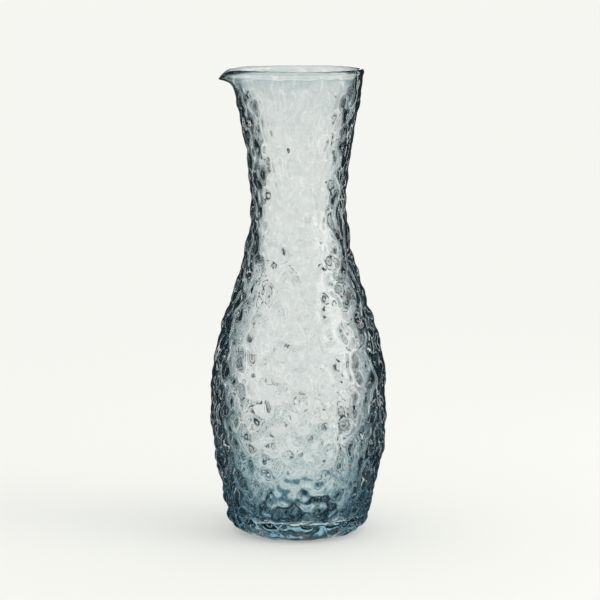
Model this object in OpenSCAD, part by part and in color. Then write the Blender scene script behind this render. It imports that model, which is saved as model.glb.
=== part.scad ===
// Water carafe of thick, blue-tinted glass with a pulled pouring lip.
// It stands on the table with its axis on Z, and pours towards -X.
// It is one piece of glass. The nodes are the zones that a glassmaker
// names, and each meets the next face to face.

/* [Outline] */
// Height from the table to the top of the rim
height = 275; // [240:5:320]
// Diameter of the ring that the carafe stands on, at its outer edge
foot_d = 57.6; // [50:0.4:66]
// Diameter at the top of the rounded heel
heel_d = 85; // [76:1:94]
// Height of the rounded heel
heel_h = 13; // [8:1:18]
// Largest diameter, at the belly
belly_d = 105.4; // [98:0.2:120]
// Height of the belly above the table
belly_z = 83.5; // [70:0.5:100]
// Smallest diameter, at the waist of the neck
waist_d = 56.8; // [50:0.2:66]
// Height of the waist above the table
waist_z = 198; // [180:1:215]
// Outer diameter of the wall just under the rim
mouth_d = 75.6; // [68:0.2:84]

/* [Glass] */
// Wall thickness low on the body
body_wall = 4.4; // [3.4:0.1:5.4]
// Wall thickness just under the rim
rim_wall = 2.8; // [2:0.1:3.6]
// How far the fire-polished rim stands proud of the wall on each side
bead_proud = 0.8; // [0.2:0.1:1.4]
// Height of the cavity's floor above the table
floor_z = 9.5; // [7:0.5:13]
// Radius of the cavity's rounded bottom corner
corner_r = 11; // [6:1:16]
// Height of the hollow under the base, at its centre
punt_h = 2.6; // [1:0.2:4]
// Width of the flat ring that touches the table
foot_ring_w = 2.4; // [1.6:0.2:4]

/* [Hammered relief] */
// Height of the lumps over the hollows between them, where the neck begins
lump_h = 1.6; // [0.4:0.1:2]

/* [Pouring lip] */
// Length of the rim that the lip takes up
lip_w = 82; // [70:1:96]
// Height of the wall that the lip is pulled from
lip_h = 14; // [10:1:20]
// How far the lip's top edge is pulled out past the rim
lip_reach = 9.4; // [5:0.2:12]
// How far the lip's top edge is bent down below the rim
lip_drop = 6.2; // [2:0.2:7]
// Depth of the dent that the tool leaves on each side of the lip
lip_dent = 1; // [0:0.1:1.6]

/* [Hidden] */
$fn = 96;

foot_r = foot_d / 2;
heel_r = heel_d / 2;
belly_r = belly_d / 2;
waist_r = waist_d / 2;
mouth_r = mouth_d / 2;

// How fast the wall draws in between the belly and the heel
belly_curve = 2.25;

// The shoulder's ends, as shares of the way from the belly to the waist
shoulder_low_share = 0.25;
shoulder_high_share = 0.75;

base_top = floor_z + corner_r;
shoulder_low = belly_z + (waist_z - belly_z) * shoulder_low_share;
shoulder_high = belly_z + (waist_z - belly_z) * shoulder_high_share;

// The rim is a round bead, cut flat where it is as wide as the wall
bead_r = rim_wall / 2 + bead_proud;
bead_cut = acos(rim_wall / 2 / bead_r);
bead_z = height - bead_r;
rim_z = bead_z - bead_r * sin(bead_cut);
bead_mid_r = mouth_r - rim_wall / 2;

// The lip takes up this angle of the mouth on each side of its middle
lip_angle = lip_w / 2 / mouth_r * 180 / PI;
lip_z = height - lip_h;
// How round the lip's tip is, and where the dents beside it begin,
// as shares of the way from the lip's middle to its end
tip_round_share = 0.3;
dent_start_share = 0.42;
// How sharply the wall bends up to the lip's edge, and how fast the
// reach and the drop die out along the rim
bend_power = 1.75;
reach_power = 2;
drop_power = 8.5;

// Lumps and hollows take turns round each row of the hammered relief and
// from each row to the next. These are the lumps in a row, and the rows.
lump_count = 26;
base_rows = 1;
body_rows = 13;
shoulder_rows = 8;
// How deep the relief is at the heel, against lump_h
heel_relief_share = 1.5;
// How much of the relief stands proud of the plain outline, and how far
// its first and last rows are tucked in, where the wall goes on plain
proud_share = 0.25;
tuck_share = 0.1;
// How far a lump strays from its place, as a share of the way to the next,
// and by how much lumps and hollows differ, as a share of the relief
stray_share = 0.4;
uneven_share = 0.4;
// How far a cut runs past the face that it goes through
overrun = 1;

// Points along each stretch of an outline
heel_steps = 10;
belly_steps = 24;
shoulder_steps = 16;
neck_steps = 28;
corner_steps = 8;
punt_steps = 8;
bead_steps = 14;
lip_steps = 12;
lip_sections = 44;

glass_tint = [0.56, 0.73, 0.80];
deep_tint = [0.30, 0.52, 0.64];

function ease(t) = (1 - cos(180 * t)) / 2;
function between(a, b, t) = a + (b - a) * t;

function heel_outline(z) =
    between(foot_r, heel_r, sqrt(1 - pow((heel_h - z) / heel_h, 2)));
function belly_outline(z) =
    between(belly_r, heel_r, pow((belly_z - z) / (belly_z - heel_h), belly_curve));
function shoulder_outline(z) =
    between(belly_r, waist_r, ease((z - belly_z) / (waist_z - belly_z)));
function neck_outline(z) =
    between(waist_r, mouth_r, ease((z - waist_z) / (height - waist_z)));

// Outer radius of the wall at height z
function outer_r(z) =
    z < heel_h ? heel_outline(z)
    : z < belly_z ? belly_outline(z)
    : z < waist_z ? shoulder_outline(z)
    : neck_outline(z);

// The wall thins evenly from the table to the rim
function wall_t(z) = between(body_wall, rim_wall, z / rim_z);
function inner_r(z) = outer_r(z) - wall_t(z);

// The hammered relief: from the heel to the neck, rows of points on the
// outside of the wall, each point a lump or a hollow
columns = 2 * lump_count;
body_row = base_rows;
shoulder_row = body_row + body_rows;
top_row = shoulder_row + shoulder_rows;
row_rise = (shoulder_high - heel_h) / top_row;

// The rows at which a node ends, with their heights
level_rows = [
    [0, heel_h],
    [body_row, base_top],
    [shoulder_row, shoulder_low],
    [top_row, shoulder_high]
];

function relief(z) =
    lump_h * between(heel_relief_share, 1, (z - heel_h) / (shoulder_high - heel_h));
function is_lump(i, j) = (i + j) % 2 == 0;

// A value from -1 to 1 that looks random and is the same each time
function chance(i, j, kind) =
    let (v = 1000 * sin(53.9 * i + 131.7 * (j % columns) + 223.1 * kind))
    2 * (v - floor(v)) - 1;

// Lumps stray from their places, and a hollow stays in the middle of the
// four lumps around it
function stray(i, j, kind) =
    stray_share * (is_lump(i, j) ? chance(i, j, kind)
    : (chance(i - 1, j, kind) + chance(i + 1, j, kind)
        + chance(i, j + columns - 1, kind) + chance(i, j + 1, kind)) / 4);

function hammered_point(i, j) =
    let (
        plain = i == 0 || i == top_row,
        level = len([for (row = level_rows) if (row[0] == i) i]) > 0,
        a = 360 / columns * (j + (plain ? 0 : stray(i, j, 1))),
        z = lookup(i, level_rows) + (level ? 0 : row_rise * stray(i, j, 2)),
        uneven = uneven_share * (1 + chance(i, j, 3)) / 2,
        out = plain ? -tuck_share : proud_share - (is_lump(i, j) ? uneven : 1 - uneven),
        r = outer_r(z) + relief(z) * out
    )
    [r * cos(a), r * sin(a), z];

// Points up the outside or down the inside of the wall
function outer_points(low, high, steps) =
    [for (i = [0:steps]) let (z = between(low, high, i / steps)) [outer_r(z), z]];
function inner_points(low, high, steps) =
    [for (i = [0:steps]) let (z = between(high, low, i / steps)) [inner_r(z), z]];

// The hollow under the base, from the foot ring to the axis
punt_r = foot_r - foot_ring_w;
punt_points = [for (i = [0:punt_steps])
    let (t = i / punt_steps) [punt_r * (1 - t), punt_h * ease(t)]];

// The heel's outer edge, from the foot ring to its top
heel_points = [for (i = [1:heel_steps])
    let (z = heel_h * (1 - cos(90 * i / heel_steps))) [outer_r(z), z]];

// The cavity's rounded corner, from the wall to the flat floor
corner_mid_r = inner_r(base_top) - corner_r;
corner_points = [for (i = [0:corner_steps])
    let (a = 90 * i / corner_steps)
    [corner_mid_r + corner_r * cos(a), base_top - corner_r * sin(a)]];

// The hammered outside between two rows, filled to the axis
module hammered_skin(first, last)
{
    points = [for (i = [first:last], j = [0:columns - 1]) hammered_point(i, j)];
    // Each patch is split from hollow to hollow, so that a crease runs there
    sides = [for (i = [first:last - 1], j = [0:columns - 1])
        let (
            a = (i - first) * columns + j,
            b = (i - first) * columns + (j + 1) % columns,
            c = a + columns,
            d = b + columns
        )
        each is_lump(i, j) ? [[a, c, b], [b, c, d]] : [[a, c, d], [a, d, b]]];
    bottom = [for (j = [0:columns - 1]) j];
    top = [for (j = [columns - 1:-1:0]) (last - first) * columns + j];
    polyhedron(points, concat(sides, [bottom, top]));
}

// The cavity between two heights
module cavity(low, high, steps)
{
    rotate_extrude()
        polygon(concat(
            [[0, high + overrun], [inner_r(high), high + overrun]],
            inner_points(low, high, steps),
            [[inner_r(low), low - overrun], [0, low - overrun]]
        ));
}

module base()
{
    color(deep_tint)
        difference() {
            union() {
                rotate_extrude() polygon(concat([[0, 0], [foot_r, 0]], heel_points, [[0, heel_h]]));
                hammered_skin(0, body_row);
            }
            rotate_extrude()
                polygon(concat(
                    [[0, base_top + overrun], [inner_r(base_top), base_top + overrun]],
                    corner_points,
                    [[0, floor_z]]
                ));
            rotate_extrude() polygon(concat([[0, -overrun], [punt_r, -overrun]], punt_points));
        }
}

module body()
{
    color(glass_tint)
        difference() {
            hammered_skin(body_row, shoulder_row);
            cavity(base_top, shoulder_low, belly_steps);
        }
}

module shoulder()
{
    color(glass_tint)
        difference() {
            hammered_skin(shoulder_row, top_row);
            cavity(shoulder_low, shoulder_high, shoulder_steps);
        }
}

// The wedge of the mouth that the pouring lip takes up
module lip_wedge()
{
    wedge_r = mouth_d;
    translate([0, 0, lip_z])
        linear_extrude(height = lip_h + bead_r)
            polygon([[0, 0], for (a = [-lip_angle, 0, lip_angle])
                [-wedge_r * cos(a), wedge_r * sin(a)]]);
}

module neck()
{
    color(glass_tint)
        difference() {
            rotate_extrude()
                polygon(concat(
                    outer_points(shoulder_high, rim_z, neck_steps),
                    inner_points(shoulder_high, rim_z, neck_steps)
                ));
            lip_wedge();
        }
}

// Section of the bead from the outside of the wall over the top to the inside
bead_points = [for (i = [0:bead_steps])
    let (a = between(-bead_cut, 180 + bead_cut, i / bead_steps))
    [bead_mid_r + bead_r * cos(a), bead_z + bead_r * sin(a)]];

module rim()
{
    color(glass_tint)
        difference() {
            rotate_extrude() polygon(bead_points);
            lip_wedge();
        }
}

// The pull at the share u of the way from the lip's middle to its end,
// from 1 to 0, and the dent beside it, from 0 to 1
function rounded(u) = norm([u, tip_round_share]) - tip_round_share;
function pull(u, power) = pow(1 - rounded(u) / rounded(1), power);
function dent(u) =
    u < dent_start_share ? 0
    : pow(sin(180 * (u - dent_start_share) / (1 - dent_start_share)), 2);

// Where the point p of the plain wall's section goes at the share u of
// the way to the lip's end, which is below 0 on one side of the lip
function pulled(p, u) =
    let (
        a = lip_angle * u,
        bend = pow(max(0, (p[1] - lip_z) / lip_h), bend_power),
        out = lip_reach * pull(u, reach_power) - lip_dent * dent(abs(u)),
        r = p[0] + out * bend,
        z = p[1] - lip_drop * pull(u, drop_power) * bend
    )
    [-r * cos(a), r * sin(a), z];

// The plain wall's section where the lip is pulled, with its rounded rim
lip_section = concat(
    [for (i = [0:lip_steps - 1]) let (z = between(lip_z, rim_z, i / lip_steps))
        [outer_r(z), z]],
    bead_points,
    [for (i = [lip_steps - 1:-1:0]) let (z = between(lip_z, rim_z, i / lip_steps))
        [inner_r(z), z]]
);

module spout()
{
    count = len(lip_section);
    points = [for (s = [0:lip_sections], p = lip_section)
        pulled(p, 2 * s / lip_sections - 1)];
    sides = [for (s = [0:lip_sections - 1], i = [0:count - 1])
        let (a = s * count + i, b = s * count + (i + 1) % count)
        each [[a, a + count, b], [b, a + count, b + count]]];
    first_end = [for (i = [0:count - 1]) i];
    last_end = [for (i = [count - 1:-1:0]) lip_sections * count + i];
    color(glass_tint)
        polyhedron(points, concat(sides, [first_end, last_end]));
}

base();
body();
shoulder();
neck();
rim();
spout();
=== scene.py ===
"""Looks of a water carafe in thick, hammered, blue-tinted glass with a pulled pouring lip."""

import math

import bpy
import numpy as np
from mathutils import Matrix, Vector


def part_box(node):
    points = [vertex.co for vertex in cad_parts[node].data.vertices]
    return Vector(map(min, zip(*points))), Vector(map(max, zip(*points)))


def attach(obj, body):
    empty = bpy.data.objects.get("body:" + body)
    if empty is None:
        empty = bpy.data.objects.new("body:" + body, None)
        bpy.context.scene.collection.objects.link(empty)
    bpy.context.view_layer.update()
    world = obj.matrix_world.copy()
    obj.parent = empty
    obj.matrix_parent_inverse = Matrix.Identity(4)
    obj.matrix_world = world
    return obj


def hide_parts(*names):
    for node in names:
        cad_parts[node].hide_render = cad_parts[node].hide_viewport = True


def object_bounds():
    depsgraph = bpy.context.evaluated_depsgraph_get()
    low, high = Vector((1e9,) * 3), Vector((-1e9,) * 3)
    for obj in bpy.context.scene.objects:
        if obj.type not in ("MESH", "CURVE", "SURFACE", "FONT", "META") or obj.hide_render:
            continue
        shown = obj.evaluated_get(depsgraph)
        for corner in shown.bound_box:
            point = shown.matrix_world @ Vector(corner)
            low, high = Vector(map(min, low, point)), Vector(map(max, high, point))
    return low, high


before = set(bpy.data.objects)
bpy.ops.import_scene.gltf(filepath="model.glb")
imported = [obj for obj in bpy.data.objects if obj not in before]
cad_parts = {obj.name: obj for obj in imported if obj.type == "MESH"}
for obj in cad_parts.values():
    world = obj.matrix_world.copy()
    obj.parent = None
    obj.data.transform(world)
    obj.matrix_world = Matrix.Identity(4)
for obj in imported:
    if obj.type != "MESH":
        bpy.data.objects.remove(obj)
cad_low, cad_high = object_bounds()

MM = 0.001
WHITE = (1, 1, 1, 1)

# The carafe's outline, as the solids have it
HEIGHT = cad_high.z
RIM_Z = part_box("rim")[0].z
BASE_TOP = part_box("base")[1].z
SHOULDER_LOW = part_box("shoulder")[0].z
SHOULDER_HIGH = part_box("shoulder")[1].z
LIP_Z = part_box("spout")[0].z
BELLY_R = 52.7 * MM
BELLY_Z = 83.5 * MM
WAIST_R = 28.4 * MM
WAIST_Z = 198 * MM
MOUTH_R = 37.8 * MM
HEEL_R = 42.5 * MM
HEEL_H = 13 * MM
FOOT_R = 28.8 * MM
FOOT_RING_W = 2.4 * MM
PUNT_H = 2.6 * MM
BELLY_CURVE = 2.25

# The glass
BODY_WALL = 4.4 * MM
RIM_WALL = 2.8 * MM
FLOOR_Z = 9.5 * MM
CORNER_R = BASE_TOP - FLOOR_Z

# The bead round the rim, and the wall that flares to meet it from outside and inside
BEAD_PROUD = 0.8 * MM
BEAD_IN = 0.3 * MM
FLARE_ANGLE = math.radians(24)
BEAD_R = (RIM_WALL + BEAD_PROUD + BEAD_IN) / 2
BEAD_MID = MOUTH_R + BEAD_PROUD - BEAD_R
BEAD_Z = HEIGHT - BEAD_R
FLARE_TOP = BEAD_Z - BEAD_R * math.sin(FLARE_ANGLE)
FLARE_OUT = BEAD_MID + BEAD_R * math.cos(FLARE_ANGLE) - MOUTH_R
FLARE_IN = MOUTH_R - RIM_WALL - BEAD_MID + BEAD_R * math.cos(FLARE_ANGLE)
FLARE_LOW = FLARE_TOP - 2 * FLARE_OUT / math.tan(FLARE_ANGLE)

# The pouring lip
LIP_H = HEIGHT - LIP_Z
LIP_W = 82 * MM
LIP_REACH = 9.4 * MM
LIP_DROP = 6.2 * MM
LIP_DENT = 1 * MM
TIP_ROUND_SHARE = 0.3
DENT_START_SHARE = 0.42
BEND_POWER = 1.75
REACH_POWER = 2
DROP_POWER = 8.5

# The hammered relief, as the solids have it: rows of lumps from the heel to the neck
LUMP_H = 1.6 * MM
LUMP_COUNT = 26
BASE_ROWS = 1
BODY_ROWS = 13
SHOULDER_ROWS = 8
HEEL_RELIEF_SHARE = 1.5
PROUD_SHARE = 0.25
CHANCE_GAIN = 1000
ROW_ANGLE = 53.9
COLUMN_ANGLE = 131.7
KIND_ANGLE = 223.1
TOP_ROW = BASE_ROWS + BODY_ROWS + SHOULDER_ROWS
LEVEL_ROWS = (0, BASE_ROWS, BASE_ROWS + BODY_ROWS, TOP_ROW)
LEVELS = (HEEL_H, BASE_TOP, SHOULDER_LOW, SHOULDER_HIGH)
COLUMNS = 2 * LUMP_COUNT
ROW_RISE = (SHOULDER_HIGH - HEEL_H) / TOP_ROW

# The lumps stray and differ more than in the solids, and small ones stand in the solids' hollows
STRAY_SHARE = 0.55
UNEVEN_SHARE = 0.55
# How much lower the small ones are at the belly and at the waist, as shares of the relief
SMALL_LUMP_SHARES = (0.35, 0.9)
# How far a lump falls to the deepest hollow beside it, as a share of the relief
FALL_SHARE = 1.4
# How many rows go on below the heel
ROWS_BELOW = 2

# How far the pattern is bent out of shape at most, and the size of the bends
WARP = 2.4 * MM
WARP_SIZE = 9 * MM
# A broad swell and a fine grain over the lumps, as shares of the relief
SWELL_SHARE = 1.5
SWELL_SIZE = 18 * MM
GRAIN_SHARE = 0.6
GRAIN_SIZE = 5 * MM

# Rounds of softening for the creases, in full above SOFT_TO and by CRISP_SHARE below SOFT_FROM
SOFTENING = 5
CRISP_SHARE = 0.12
SOFT_FROM = 60 * MM
SOFT_TO = 110 * MM

# The relief grows over FOOT_BAND at the foot, and dies down to BEAD_SHARE over RIM_BAND at the rim
FOOT_BAND = 5 * MM
NECK_RELIEF_SHARE = 0.85
RIM_BAND = 13 * MM
BEAD_SHARE = 0.1
# The relief inside, on the wall and at the corner and floor; below zero because it faces the cavity
INNER_SHARE = -0.25
CORNER_SHARE = -0.7

# Wrinkles that are too fine for the mesh
WRINKLE_SIZE = 3.5 * MM
WRINKLE_DEPTH = 0.08 * MM

# Points round the glass, and along each stretch of its section with both ends counted
TURNS = 326
PUNT_POINTS = 6
HEEL_POINTS = 13
OUTER_POINTS = 237
BEAD_POINTS = 12
INNER_POINTS = 28
CORNER_POINTS = 7
CAVITY_FLOOR_POINTS = 4
# Where the first ring round the middle lies, as a share of the punt's or the floor's radius
MIDDLE_SHARE = 0.15

# The named inputs of the relief's node tree
RELIEF_SIZES = {
    "Lump Height": LUMP_H,
    "Warp": WARP,
    "Warp Size": WARP_SIZE,
    "Grain": GRAIN_SHARE,
    "Grain Size": GRAIN_SIZE,
    "Swell": SWELL_SHARE,
    "Swell Size": SWELL_SIZE,
}

# What the glass takes out of the light on its way through
GLASS_IOR = 1.5
GLASS_TINT = (0.28, 0.68, 0.79, 1)
TINT_DENSITY = 17.0

# What the surface lets through at each height, as a share of the whole height
TINT_PROFILE = (
    (0, (0.7, 0.8, 0.84, 1)),
    (0.014, (0.86, 0.93, 0.96, 1)),
    (0.04, (0.85, 0.93, 0.96, 1)),
    (0.13, (0.9, 0.96, 0.97, 1)),
    (0.22, WHITE),
    (0.86, WHITE),
    (0.95, (0.94, 0.96, 0.962, 1)),
    (0.985, (0.87, 0.91, 0.915, 1)),
    (1, (0.82, 0.87, 0.88, 1)),
)

# Faint streaks of deeper glass
STREAK_SIZE = 9 * MM
STREAK_START = 0.4
STREAK_END = 0.6
STREAK_SHADE = (0.93, 0.95, 0.945, 1)

# Painted shade: the glass darkens where it turns away, less so on the neck, and bluer and sooner below
# LOW_TOP
EDGE_SHADE_COLOUR = (0.24, 0.35, 0.38, 1)
EDGE_START = 0.2
EDGE_END = 0.62
NECK_EDGE = 0.75
LOW_TOP = 90 * MM
LOW_EDGE_SHADE_COLOUR = (0.12, 0.29, 0.39, 1)
LOW_EDGE_START = 0.05
LOW_EDGE_END = 0.5
# A painted dark outline where the glass turns farthest away
OUTLINE_SHADE_COLOUR = (0.035, 0.058, 0.068, 1)
OUTLINE_START = 0.62
OUTLINE_END = 0.88

# The glass shows a pale screen every so many degrees round it, with dark gaps between
SCREEN_STEP = math.radians(45)
SCREEN_SHADE = (0.8, 0.805, 0.79, 1)
SCREEN_LIGHT = (1.0, 0.98, 0.93, 1)
GAP_COLOUR = (0.012, 0.021, 0.025, 1)
BLOTCH_SCALE = 30
# Brightness from the middle of a screen, 0, to the middle of a gap, 1
SCREEN_PROFILE = ((0, 1.0), (0.6, 0.98), (0.82, 0.88), (0.92, 0.12), (1, 0.12))
# The same for light that was mirrored inside the glass, and for what the outside mirrors
STRIP_PROFILE = ((0, 0.9), (0.07, 0.8), (0.13, 0.02), (0.6, 0), (1, 0))
TUBE_PROFILE = ((0, 1), (0.12, 1), (0.2, 0), (1, 0))
TUBE_GAIN = 2.2
# Brightness by the degrees above the horizon
HEIGHT_PROFILE = (
    (-90, 0.4),
    (-45, 0.4),
    (-28, 0.85),
    (-12, 1),
    (10, 1),
    (38, 0.88),
    (55, 0.05),
    (90, 0.05),
)

# The values of a noise between which mottles and blotches go from dark to light
NOISE_LOW = 0.35
NOISE_HIGH = 0.65

# The backdrop, the light that the floor gets from all round, and a soft light from the right
BACKDROP = (0.913, 0.922, 0.880, 1)
FILL = 1.14
BOX_SIZE = (1.2, 1.2)
BOX_ENERGY = 14.0
BOX_PLACE = (1.7, -0.5, 0.8)
BOX_COLOUR = (1, 0.97, 0.93)

# The floor glows a little everywhere, and fades into the backdrop between two distances
FLOOR_HALF = 1.6
FLOOR_COLOUR = (0.765, 0.773, 0.738, 1)
GLOW_SHARE = 0.3
FADE_START = 0.25
FADE_END = 0.9

# What the glass shows of the floor, by the distance from the axis as a share of FLOOR_FAR: a painted shadow
# in a ring round the foot, and full light farther out
FLOOR_FAR = 260 * MM
FLOOR_PROFILE = ((0, 1), (0.12, 0.95), (0.16, 0.45), (0.2, 0.45), (0.3, 0.8), (0.48, 1), (1, 1))
# The painted shade and light of the floor as the glass sees it
FLOOR_SHADE_COLOUR = (0.03, 0.05, 0.06, 1)
FLOOR_LIGHT = (0.925, 0.915, 0.875, 1)
# Painted caustic light: a mottle that brightens and darkens the floor as the glass sees it
CAUSTIC_SIZE = 9 * MM
CAUSTIC_LOW = 0.1
CAUSTIC_HIGH = 1.9
# Painted light under the foot, as if lit all round: in full within UNDER_LIT and not at all past UNDER_END
UNDER_LIT = 30 * MM
UNDER_END = 45 * MM
UNDER_LIGHT = 0.9
# Painted reflection: the slants of view between which what the glass shows of the floor takes over from the
# plain floor
SHEEN_START = 0.4
SHEEN_END = 0.65

# The photograph's camera, fitted to the outline, the rim and the foot
PHOTO_SIZE = 600
FOCAL_PX = 2566
CAMERA_DISTANCE = 1500 * MM
CAMERA_Z = 356 * MM
AIM_X = 0.9 * MM
AIM_Z = 138.5 * MM
SENSOR_MM = 36

# Turns that light may take through the glass, and between mirroring surfaces
GLASS_BOUNCES = 32
MIRROR_BOUNCES = 16


class Tree:
    """A short way to build a node tree: add() makes a node with its settings and feeds its inputs."""

    # Sockets of a Mix node: its share, the two numbers or colours it mixes, and its outputs
    SHARE = 0
    NUMBERS = (2, 3)
    COLOURS = (6, 7)
    NUMBER_OUT = 0
    COLOUR_OUT = 2

    def __init__(self, tree):
        self.tree = tree

    def add(self, kind, feeds=None, **settings):
        node = self.tree.nodes.new(kind)
        for key, value in settings.items():
            setattr(node, key, value)
        for key, value in (feeds or {}).items():
            socket = node.inputs[key]
            if isinstance(value, bpy.types.NodeSocket):
                self.tree.links.new(value, socket)
            else:
                socket.default_value = value
        return node

    def maths(self, operation, *values):
        return self.add("ShaderNodeMath", dict(enumerate(values)), operation=operation).outputs[0]

    def vectors(self, operation, *values):
        return self.add("ShaderNodeVectorMath", dict(enumerate(values)), operation=operation).outputs[0]

    def scaled(self, vector, scale):
        return self.add("ShaderNodeVectorMath", {0: vector, "Scale": scale}, operation="SCALE").outputs[0]

    def split(self, vector):
        """The x, y and z of a vector."""
        return self.add("ShaderNodeSeparateXYZ", {0: vector}).outputs[:3]

    def noise(self, place, scale, detail, distortion=0.0):
        feeds = {"Vector": place, "Scale": scale, "Detail": detail, "Distortion": distortion}
        return self.add("ShaderNodeTexNoise", feeds).outputs

    def spread(self, value, start, end, low=0.0, high=1.0, **settings):
        """Goes evenly from low to high while the value goes from start to end."""
        feeds = {"Value": value, "From Min": start, "From Max": end, "To Min": low, "To Max": high}
        return self.add("ShaderNodeMapRange", feeds, **settings).outputs[0]

    def eased(self, value, start, end, low=0.0, high=1.0):
        """The same with a soft start and end."""
        return self.spread(value, start, end, low, high, interpolation_type="SMOOTHSTEP")

    def over_half(self, value):
        """1 where a count or a switch is on, and otherwise 0."""
        return self.maths("GREATER_THAN", value, 0.5)

    def mixed_numbers(self, share, first, second):
        feeds = {self.SHARE: share, self.NUMBERS[0]: first, self.NUMBERS[1]: second}
        return self.add("ShaderNodeMix", feeds, data_type="FLOAT").outputs[self.NUMBER_OUT]

    def mixed_colours(self, share, first, second, blend_type="MIX"):
        feeds = {self.SHARE: share, self.COLOURS[0]: first, self.COLOURS[1]: second}
        node = self.add("ShaderNodeMix", feeds, data_type="RGBA", blend_type=blend_type)
        return node.outputs[self.COLOUR_OUT]

    def mixed_shaders(self, share, first, second):
        return self.add("ShaderNodeMixShader", {0: share, 1: first, 2: second}).outputs[0]

    def ramp(self, value, stops):
        """A curve through the stops (place from 0 to 1, grey value or colour), as a colour ramp."""
        node = self.add("ShaderNodeValToRGB", {0: value})
        elements = node.color_ramp.elements
        while len(elements) > 1:
            elements.remove(elements[0])
        for i, (place, colour) in enumerate(stops):
            element = elements[0] if i == 0 else elements.new(place)
            element.position = place
            element.color = colour if isinstance(colour, tuple) else (colour, colour, colour, 1)
        return node.outputs["Color"]


def emptied_tree(owner):
    """The node tree of a new material or world, without the nodes that it starts with."""
    owner.use_nodes = True
    owner.node_tree.nodes.clear()
    return Tree(owner.node_tree)


def placed(name, data):
    """A new object in the scene, at the origin."""
    piece = bpy.data.objects.new(name, data)
    bpy.context.scene.collection.objects.link(piece)
    return piece


def ease(t):
    """Goes from 0 to 1 with a level start and end."""
    return (1 - np.cos(np.pi * np.clip(t, 0, 1))) / 2


def outer_radius(z):
    """Outer radius of the wall at each height z."""
    heel = FOOT_R + (HEEL_R - FOOT_R) * np.sqrt(np.clip(1 - ((HEEL_H - z) / HEEL_H) ** 2, 0, 1))
    draw = np.clip((BELLY_Z - z) / (BELLY_Z - HEEL_H), 0, 1) ** BELLY_CURVE
    belly = BELLY_R + (HEEL_R - BELLY_R) * draw
    shoulder = BELLY_R + (WAIST_R - BELLY_R) * ease((z - BELLY_Z) / (WAIST_Z - BELLY_Z))
    neck = WAIST_R + (MOUTH_R - WAIST_R) * ease((z - WAIST_Z) / (HEIGHT - WAIST_Z))
    return np.select([z < HEEL_H, z < BELLY_Z, z < WAIST_Z], [heel, belly, shoulder], neck)


def wall_thickness(z):
    """The wall thins evenly from the table to the rim."""
    return BODY_WALL + (RIM_WALL - BODY_WALL) * z / RIM_Z


def inner_radius(z):
    return outer_radius(z) - wall_thickness(z)


def flare(z):
    """How far the wall has opened into the bead at the height z, from 0 to 1."""
    return max(0, (z - FLARE_LOW) / (FLARE_TOP - FLARE_LOW)) ** 2


def relief_share(z):
    """Depth of the outside's relief at each height, against the lumps where the neck begins."""
    at = [0, FOOT_BAND, HEEL_H, SHOULDER_HIGH, WAIST_Z, RIM_Z - RIM_BAND, RIM_Z]
    low, neck = HEEL_RELIEF_SHARE, NECK_RELIEF_SHARE
    return np.interp(z, at, [0, low, low, 1, neck, neck, BEAD_SHARE])


def lump_reach(z):
    """How far a lump reaches to the deepest hollow beside it."""
    return math.sqrt(0.5) * np.hypot(2 * math.pi * outer_radius(z) / COLUMNS, ROW_RISE)


def chance(i, j, kind):
    """A value from -1 to 1 that looks random and is the same each time, as the solids have it."""
    angle = ROW_ANGLE * i + COLUMN_ANGLE * (j % COLUMNS) + KIND_ANGLE * kind
    v = CHANCE_GAIN * math.sin(math.radians(angle))
    return 2 * (v - math.floor(v)) - 1


def lump_point(i, j):
    """A lump's point: on the wall where the lump is highest, and farther out where it is lower."""
    z = float(np.interp(i, LEVEL_ROWS, LEVELS)) + ROW_RISE * (min(i, 0) + max(i - TOP_ROW, 0))
    z += ROW_RISE * STRAY_SHARE * chance(i, j, 2)
    lower = UNEVEN_SHARE * (1 + chance(i, j, 3)) / 2
    is_small = (i + j) % 2 == 1
    if is_small:
        lower += float(np.interp(z, [BELLY_Z, WAIST_Z], SMALL_LUMP_SHARES))
    r = float(outer_radius(np.array(z)) + lump_reach(np.array(z)) * math.sqrt(lower / FALL_SHARE))
    a = 2 * math.pi / COLUMNS * (j + STRAY_SHARE * chance(i, j, 1))
    return r * math.cos(a), r * math.sin(a), z


def lump_points():
    """A helper with the points of all lumps, from below the heel to the rim."""
    rows_above = math.ceil((HEIGHT - SHOULDER_HIGH) / ROW_RISE)
    rows = range(-ROWS_BELOW, TOP_ROW + rows_above + 1)
    mesh = bpy.data.meshes.new("lump_points")
    mesh.from_pydata([lump_point(i, j) for i in rows for j in range(COLUMNS)], [], [])
    return placed("lump_points", mesh)


def underside_rows():
    """The hollow under the base, the foot ring and the heel."""
    rows = []
    punt_r = FOOT_R - FOOT_RING_W
    for t in np.linspace(MIDDLE_SHARE, 1, PUNT_POINTS):
        rows.append((punt_r * t, PUNT_H * ease(1 - t), 0))
    rows.append((FOOT_R - FOOT_RING_W / 2, 0, 0))
    rows.append((FOOT_R, 0, 0))
    for a in np.linspace(0, np.pi / 2, HEEL_POINTS)[1:]:
        z = HEEL_H * (1 - math.cos(a))
        rows.append((float(outer_radius(z)), z, float(relief_share(z))))
    return rows


def wall_rows():
    """The wall's outside from the heel up, the bead, and its inside down to the cavity's corner."""
    rows = []
    for z in np.linspace(HEEL_H, FLARE_TOP, OUTER_POINTS)[1:-1]:
        rows.append((float(outer_radius(z)) + FLARE_OUT * flare(z), z, float(relief_share(z))))
    for a in np.linspace(-FLARE_ANGLE, math.pi + FLARE_ANGLE, BEAD_POINTS):
        rows.append((BEAD_MID + BEAD_R * math.cos(a), BEAD_Z + BEAD_R * math.sin(a), BEAD_SHARE))
    for z in np.linspace(FLARE_TOP, BASE_TOP, INNER_POINTS)[1:-1]:
        share = INNER_SHARE * float(relief_share(z))
        rows.append((float(inner_radius(z)) - FLARE_IN * flare(z), z, share))
    return rows


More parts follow.
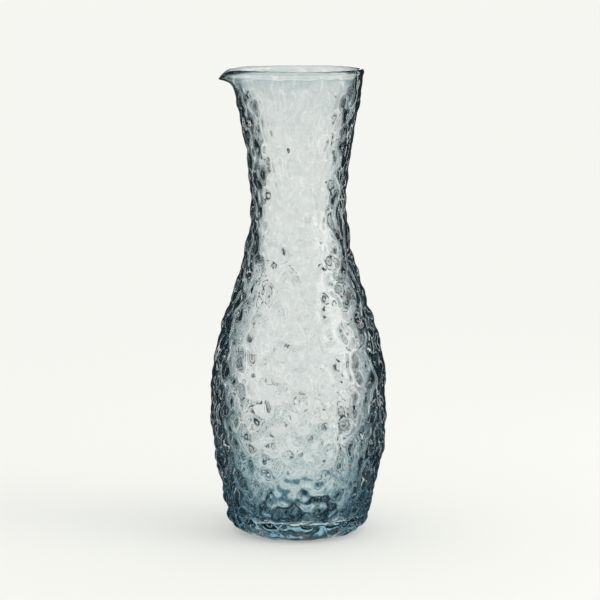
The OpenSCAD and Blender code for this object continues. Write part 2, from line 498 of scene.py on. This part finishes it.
def cavity_floor_rows():
    """The cavity's rounded corner and its floor."""
    rows = []
    corner_mid = float(inner_radius(np.array(BASE_TOP))) - CORNER_R
    for a in np.linspace(0, np.pi / 2, CORNER_POINTS):
        z = BASE_TOP - CORNER_R * math.sin(a)
        rows.append((corner_mid + CORNER_R * math.cos(a), z, CORNER_SHARE))
    for t in np.linspace(1, MIDDLE_SHARE, CAVITY_FLOOR_POINTS)[1:]:
        rows.append((corner_mid * t, FLOOR_Z, CORNER_SHARE))
    return rows


def section_rows():
    """The wall's section from the middle of the underside over the rim to the middle of the cavity's
    floor. Each row is radius, height and the share of the hammered relief that it takes."""
    return np.array(underside_rows() + wall_rows() + cavity_floor_rows())


def rounded(u):
    """Like u, but with a round start, which gives the lip's tip its round."""
    return np.hypot(u, TIP_ROUND_SHARE) - TIP_ROUND_SHARE


def pull(u, power):
    """The pull at the share u of the way from the lip's middle to its end, from 1 to 0."""
    return np.clip(1 - rounded(u) / rounded(1), 0, 1) ** power


def dent(u):
    """The tool's dents beside the lip at the share u of the way to its end, from 0 to 1."""
    t = np.clip((u - DENT_START_SHARE) / (1 - DENT_START_SHARE), 0, 1)
    return np.sin(np.pi * t) ** 2


def turned(r, a, z):
    """The points at radius r, height z and each angle a, where the angle 0 is the lip's side."""
    return np.stack([-r * np.cos(a), r * np.sin(a), z + 0 * a], -1).reshape(-1, 3)


def lipped_points(r, a, z):
    """The section turned round the axis, with the lip pulled out towards -X."""
    u = np.abs(a) / (LIP_W / 2 / MOUTH_R)
    bend = np.clip((z - LIP_Z) / LIP_H, 0, None) ** BEND_POWER
    r = r + (LIP_REACH * pull(u, REACH_POWER) - LIP_DENT * dent(u)) * bend
    z = z - LIP_DROP * pull(u, DROP_POWER) * bend
    return turned(r, a, z)


def glass_faces(count):
    """The faces between the section's rows, and round the middles of the underside and the floor."""
    row, column = np.meshgrid(np.arange(count - 1), np.arange(TURNS), indexing="ij")
    here = row * TURNS
    following = (row + 1) * TURNS
    beside = (column + 1) % TURNS
    quads = np.stack([here + column, following + column, following + beside, here + beside], -1)
    faces = [tuple(int(i) for i in quad) for quad in quads.reshape(-1, 4)]
    under = count * TURNS
    over = under + 1
    last = (count - 1) * TURNS
    for i in range(TURNS):
        j = (i + 1) % TURNS
        faces.append((under, i, j))
        faces.append((over, last + j, last + i))
    return faces


def note(mesh, name, values):
    """Keeps a number with each point of the mesh."""
    attribute = mesh.attributes.new(name, "FLOAT", "POINT")
    attribute.data.foreach_set("value", values.astype(np.float32))


def glass_mesh(rows):
    """A closed mesh of the plain glass. Each point keeps its share of the relief, the reach of the
    lumps there, and its place on the plain outside, where the relief's pattern is read."""
    a = np.radians(np.linspace(-180, 180, TURNS, endpoint=False))
    r = rows[:, 0][:, None]
    z = rows[:, 1][:, None]
    points = np.vstack([lipped_points(r, a, z), [0, 0, PUNT_H], [0, 0, FLOOR_Z]])
    plain = np.vstack([turned(outer_radius(z), a, z), [0, 0, 0], [0, 0, 0]])
    mesh = bpy.data.meshes.new("carafe_glass")
    mesh.from_pydata([tuple(p) for p in points], [], glass_faces(len(rows)))
    mesh.polygons.foreach_set("use_smooth", [True] * len(mesh.polygons))
    note(mesh, "relief_share", np.append(np.repeat(rows[:, 2], TURNS), [0, 0]))
    note(mesh, "lump_reach", np.append(np.repeat(lump_reach(rows[:, 1]), TURNS), [1, 1]))
    attribute = mesh.attributes.new("plain_place", "FLOAT_VECTOR", "POINT")
    attribute.data.foreach_set("vector", plain.astype(np.float32).ravel())
    mesh.update()
    return mesh


def noted(t, name, data_type="FLOAT"):
    """What glass_mesh() kept with each point under the name."""
    node = t.add("GeometryNodeInputNamedAttribute", {"Name": name}, data_type=data_type)
    return node.outputs["Attribute"]


def lump_height(t, place, lumps, given):
    """Round lumps that fall away from their own points, with creases where two of them meet."""
    bend = t.noise(place, t.maths("DIVIDE", 1.0, given["Warp Size"]), 1.0)["Color"]
    bend = t.vectors("SUBTRACT", bend, (0.5, 0.5, 0.5))
    warped = t.vectors("ADD", place, t.scaled(bend, t.maths("MULTIPLY", 2.0, given["Warp"])))
    tops = t.add("GeometryNodeObjectInfo", {"Object": lumps}).outputs["Geometry"]
    feeds = {"Geometry": tops, "Sample Position": warped}
    away = t.add("GeometryNodeProximity", feeds, target_element="POINTS").outputs["Distance"]
    away = t.maths("DIVIDE", away, noted(t, "lump_reach"))
    fall = t.maths("MULTIPLY", FALL_SHARE, t.maths("MULTIPLY", away, away))
    return t.maths("SUBTRACT", PROUD_SHARE, fall)


def uneven_height(t, place, size, share, detail):
    """Ups and downs of the given size and depth."""
    noise = t.noise(place, t.maths("DIVIDE", 1.0, size), detail)["Fac"]
    return t.maths("MULTIPLY", t.maths("SUBTRACT", noise, 0.5), share)


def softened(t, place, height):
    """Smooths the creases, less on the lower body than above it."""
    weight = t.spread(t.split(place)[2], SOFT_FROM, SOFT_TO, low=CRISP_SHARE)
    feeds = {"Value": height, "Iterations": SOFTENING, "Weight": weight}
    return t.add("GeometryNodeBlurAttribute", feeds, data_type="FLOAT").outputs["Value"]


def relief_tree(lumps):
    """Moves a surface along its normals by the relief of a hammered mould: round lumps with creases."""
    group = bpy.data.node_groups.new("hammered_relief", "GeometryNodeTree")
    group.interface.new_socket("Geometry", in_out="INPUT", socket_type="NodeSocketGeometry")
    for name in RELIEF_SIZES:
        group.interface.new_socket(name, in_out="INPUT", socket_type="NodeSocketFloat")
    group.interface.new_socket("Geometry", in_out="OUTPUT", socket_type="NodeSocketGeometry")
    t = Tree(group)
    given = t.add("NodeGroupInput").outputs
    place = noted(t, "plain_place", "FLOAT_VECTOR")
    lump = lump_height(t, place, lumps, given)
    grain = uneven_height(t, place, given["Grain Size"], given["Grain"], 1.5)
    swell = uneven_height(t, place, given["Swell Size"], given["Swell"], 0.0)
    height = softened(t, place, t.maths("ADD", t.maths("ADD", lump, swell), grain))
    amount = t.maths("MULTIPLY", height, noted(t, "relief_share"))
    amount = t.maths("MULTIPLY", amount, given["Lump Height"])
    normal = t.add("GeometryNodeInputNormal").outputs[0]
    feeds = {"Geometry": given["Geometry"], "Offset": t.scaled(normal, amount)}
    moved = t.add("GeometryNodeSetPosition", feeds)
    real = t.add("GeometryNodeRealizeInstances", {"Geometry": moved.outputs[0]})
    coated = t.add("GeometryNodeSetMaterial", {"Geometry": real.outputs[0], "Material": blue_glass()})
    t.add("NodeGroupOutput", {"Geometry": coated.outputs[0]})
    return group


def glass_colour(t, place):
    """What the surface lets through, which is less low down and at the rim, with painted shade where it
    turns away and a painted dark outline where it turns farthest.
    """
    up = t.split(place)[2]
    facing = t.add("ShaderNodeLayerWeight", {"Blend": 0.5}).outputs["Facing"]
    streaks = t.noise(place, 1 / STREAK_SIZE, 2.0, 0.8)["Fac"]
    streaks = t.mixed_colours(t.eased(streaks, STREAK_START, STREAK_END), STREAK_SHADE, WHITE)
    tint = t.ramp(t.maths("DIVIDE", up, HEIGHT), TINT_PROFILE)
    colour = t.mixed_colours(1.0, tint, streaks, "MULTIPLY")
    low = t.eased(up, LOW_TOP, 0.0)
    start = t.spread(low, 0.0, 1.0, EDGE_START, LOW_EDGE_START)
    end = t.spread(low, 0.0, 1.0, EDGE_END, LOW_EDGE_END)
    strength = t.eased(up, WAIST_Z, BELLY_Z, low=NECK_EDGE)
    # Painted shade where the surface turns away, and a painted dark outline where it turns farthest
    edge_shade = t.maths("MULTIPLY", t.eased(facing, start, end), strength)
    colour = t.mixed_colours(edge_shade, colour, t.mixed_colours(low, EDGE_SHADE_COLOUR, LOW_EDGE_SHADE_COLOUR))
    return t.mixed_colours(t.eased(facing, OUTLINE_START, OUTLINE_END), colour, OUTLINE_SHADE_COLOUR)


def wrinkled(t, place):
    """The finest wrinkles, as a bump on the outside alone."""
    share = t.add("ShaderNodeAttribute", attribute_name="relief_share").outputs["Fac"]
    wrinkles = t.noise(place, 1 / WRINKLE_SIZE, 1.0, 0.6)["Fac"]
    height = t.maths("MULTIPLY", wrinkles, t.maths("MAXIMUM", share, 0.0))
    return t.add("ShaderNodeBump", {"Height": height, "Strength": 1.0, "Distance": WRINKLE_DEPTH}).outputs[0]


def blue_glass():
    """Clear glass that takes more red than blue out of the light, the more the thicker it is."""
    material = bpy.data.materials.new("hammered_blue_glass")
    t = emptied_tree(material)
    place = t.add("ShaderNodeTexCoord").outputs["Object"]
    glass = t.add("ShaderNodeBsdfPrincipled", {
        "Base Color": glass_colour(t, place),
        "Roughness": 0.0,
        "IOR": GLASS_IOR,
        "Transmission Weight": 1.0,
        "Normal": wrinkled(t, place),
    })
    tint = t.add("ShaderNodeVolumeAbsorption", {"Color": GLASS_TINT, "Density": TINT_DENSITY})
    t.add("ShaderNodeOutputMaterial", {"Surface": glass.outputs[0], "Volume": tint.outputs[0]})
    return material


def hammer(piece):
    """Gives the piece its relief, and leaves it a plain mesh."""
    lumps = lump_points()
    modifier = piece.modifiers.new("relief", "NODES")
    modifier.node_group = relief_tree(lumps)
    for socket in modifier.node_group.interface.items_tree:
        if socket.name in RELIEF_SIZES:
            modifier[socket.identifier] = RELIEF_SIZES[socket.name]
    depsgraph = bpy.context.evaluated_depsgraph_get()
    mesh = bpy.data.meshes.new_from_object(piece.evaluated_get(depsgraph), depsgraph=depsgraph)
    piece.modifiers.clear()
    piece.data = mesh
    bpy.data.objects.remove(lumps)


def carafe_glass():
    """The whole glass, which is one piece on the real carafe too."""
    piece = placed("carafe_glass", glass_mesh(section_rows()))
    hammer(piece)
    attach(piece, "root")
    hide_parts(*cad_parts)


def round_the_screens(t, x, y, profile):
    """Brightness towards x, y: high at the middle of each screen and low in the gaps between them."""
    across = t.maths("WRAP", t.maths("ARCTAN2", x, y), SCREEN_STEP / 2, -SCREEN_STEP / 2)
    return t.ramp(t.maths("DIVIDE", t.maths("ABSOLUTE", across), SCREEN_STEP / 2), profile)


def screens_or_strips(t, x, y, path):
    """Whole screens for light that was never mirrored, strips for light mirrored inside the glass,
    and tubes for light mirrored by its outside."""
    strips = round_the_screens(t, x, y, STRIP_PROFILE)
    tubes = round_the_screens(t, x, y, TUBE_PROFILE)
    mirrored = t.mixed_numbers(t.over_half(path["Transmission Depth"]), tubes, strips)
    screens = round_the_screens(t, x, y, SCREEN_PROFILE)
    return t.mixed_numbers(t.over_half(path["Glossy Depth"]), screens, mirrored)


def floor_in_glass(t, place, away, path):
    """What the glass shows of the floor, as a glow: a painted reflection of the screens, painted light under
    the foot and a painted shadow round it, all mottled with painted caustic light, and past that the
    screens.
    """
    x, y = t.split(place)[:2]
    under = t.eased(away, UNDER_END, UNDER_LIT, high=UNDER_LIGHT)
    # Painted reflection of the screens on the floor, and painted light under the foot
    side = t.maths("MAXIMUM", screens_or_strips(t, x, y, path), under)
    # Painted caustic light
    caustics = t.noise(place, 1 / CAUSTIC_SIZE, 1.0)["Fac"]
    caustics = t.spread(caustics, NOISE_LOW, NOISE_HIGH, CAUSTIC_LOW, CAUSTIC_HIGH)
    level = t.ramp(t.maths("DIVIDE", away, FLOOR_FAR), FLOOR_PROFILE)
    bright = t.maths("MULTIPLY", level, t.maths("MULTIPLY", side, caustics))
    colour = t.mixed_colours(bright, FLOOR_SHADE_COLOUR, FLOOR_LIGHT)
    near = t.add("ShaderNodeEmission", {"Color": colour, "Strength": 1.0}).outputs[0]
    clear = t.add("ShaderNodeBsdfTransparent").outputs[0]
    return t.mixed_shaders(t.maths("GREATER_THAN", away, FLOOR_FAR), near, clear)


def pale_floor():
    """A plain pale floor for the camera and the shadow, and for the glass its own look, with painted shadow,
    light and reflections.
    """
    material = bpy.data.materials.new("pale_floor")
    t = emptied_tree(material)
    place = t.add("ShaderNodeTexCoord").outputs["Object"]
    path = t.add("ShaderNodeLightPath").outputs
    away = t.add("ShaderNodeVectorMath", {0: place}, operation="LENGTH").outputs["Value"]
    lit = t.add("ShaderNodeBsdfDiffuse", {"Color": FLOOR_COLOUR}).outputs[0]
    glow = t.add("ShaderNodeEmission", {"Color": BACKDROP, "Strength": 1.0}).outputs[0]
    plain = t.mixed_shaders(t.eased(away, FADE_START, FADE_END, low=GLOW_SHARE), lit, glow)
    # Painted reflection: at a slant, or by light mirrored in the glass, the floor shows the glass its
    # painted look
    facing = t.add("ShaderNodeLayerWeight", {"Blend": 0.5}).outputs["Facing"]
    sheen = t.eased(facing, SHEEN_START, SHEEN_END)
    share = t.maths("MAXIMUM", sheen, t.over_half(path["Glossy Depth"]))
    in_glass = t.mixed_shaders(share, plain, floor_in_glass(t, place, away, path))
    direct = t.maths("MAXIMUM", path["Is Camera Ray"], path["Is Diffuse Ray"])
    direct = t.maths("MAXIMUM", direct, path["Is Shadow Ray"])
    t.add("ShaderNodeOutputMaterial", {"Surface": t.mixed_shaders(direct, in_glass, plain)})
    return material


def floor():
    mesh = bpy.data.meshes.new("floor")
    half = FLOOR_HALF
    corners = [(-half, -half, 0), (half, -half, 0), (half, half, 0), (-half, half, 0)]
    mesh.from_pydata(corners, [], [(0, 1, 2, 3)])
    mesh.materials.append(pale_floor())
    placed("floor", mesh)


def studio():
    """The backdrop for the camera, the screens for the glass, and the floor's light from all round."""
    world = bpy.data.worlds.new("studio")
    bpy.context.scene.world = world
    t = emptied_tree(world)
    direction = t.add("ShaderNodeTexCoord").outputs["Generated"]
    x, y, z = t.split(direction)
    path = t.add("ShaderNodeLightPath").outputs
    elevation = t.maths("DIVIDE", t.maths("ARCSINE", z), math.pi)
    stops = [((degrees + 90) / 180, value) for degrees, value in HEIGHT_PROFILE]
    level = t.ramp(t.maths("ADD", elevation, 0.5), stops)
    blotches = t.spread(t.noise(direction, BLOTCH_SCALE, 1.5)["Fac"], NOISE_LOW, NOISE_HIGH)
    screen = t.mixed_colours(blotches, SCREEN_SHADE, SCREEN_LIGHT)
    bright = t.maths("MULTIPLY", screens_or_strips(t, x, y, path), level)
    colour = t.mixed_colours(bright, GAP_COLOUR, screen)
    is_outside = t.maths("LESS_THAN", path["Transmission Depth"], 0.5)
    first = t.maths("MULTIPLY", t.over_half(path["Glossy Depth"]), is_outside)
    gain = t.maths("ADD", 1.0, t.maths("MULTIPLY", first, TUBE_GAIN - 1))
    in_glass = t.add("ShaderNodeBackground", {"Color": colour, "Strength": gain}).outputs[0]
    plain = t.add("ShaderNodeBackground", {"Color": BACKDROP, "Strength": 1.0}).outputs[0]
    fill = t.add("ShaderNodeBackground", {"Color": WHITE, "Strength": FILL}).outputs[0]
    shown = t.mixed_shaders(path["Is Camera Ray"], in_glass, plain)
    shown = t.mixed_shaders(t.over_half(path["Diffuse Depth"]), shown, fill)
    t.add("ShaderNodeOutputWorld", {"Surface": shown})


def softbox():
    """A soft light from the right, which throws the shadow to the left."""
    light = bpy.data.lights.new("softbox", "AREA")
    light.shape = "RECTANGLE"
    light.size, light.size_y = BOX_SIZE
    light.energy = BOX_ENERGY
    light.color = BOX_COLOUR
    box = placed("softbox", light)
    box.location = BOX_PLACE
    box.visible_transmission = False
    aim = -box.location.normalized()
    box.rotation_euler = aim.to_track_quat("-Z", "Y").to_euler()


def camera():
    data = bpy.data.cameras.new("camera")
    data.sensor_width = SENSOR_MM
    data.lens = SENSOR_MM * FOCAL_PX / PHOTO_SIZE
    eye = placed("camera", data)
    eye.location = (0, -CAMERA_DISTANCE, CAMERA_Z)
    aim = Vector((AIM_X, 0, AIM_Z)) - eye.location
    eye.rotation_euler = aim.to_track_quat("-Z", "Y").to_euler()
    bpy.context.scene.camera = eye


def render_settings():
    """Plain colours, and enough turns for light to find its way through two hammered walls."""
    scene = bpy.context.scene
    scene.view_settings.view_transform = "Standard"
    scene.cycles.max_bounces = GLASS_BOUNCES
    scene.cycles.transmission_bounces = GLASS_BOUNCES
    scene.cycles.glossy_bounces = MIRROR_BOUNCES
    scene.cycles.use_denoising = True


camera()
render_settings()
floor()
studio()
softbox()
carafe_glass()
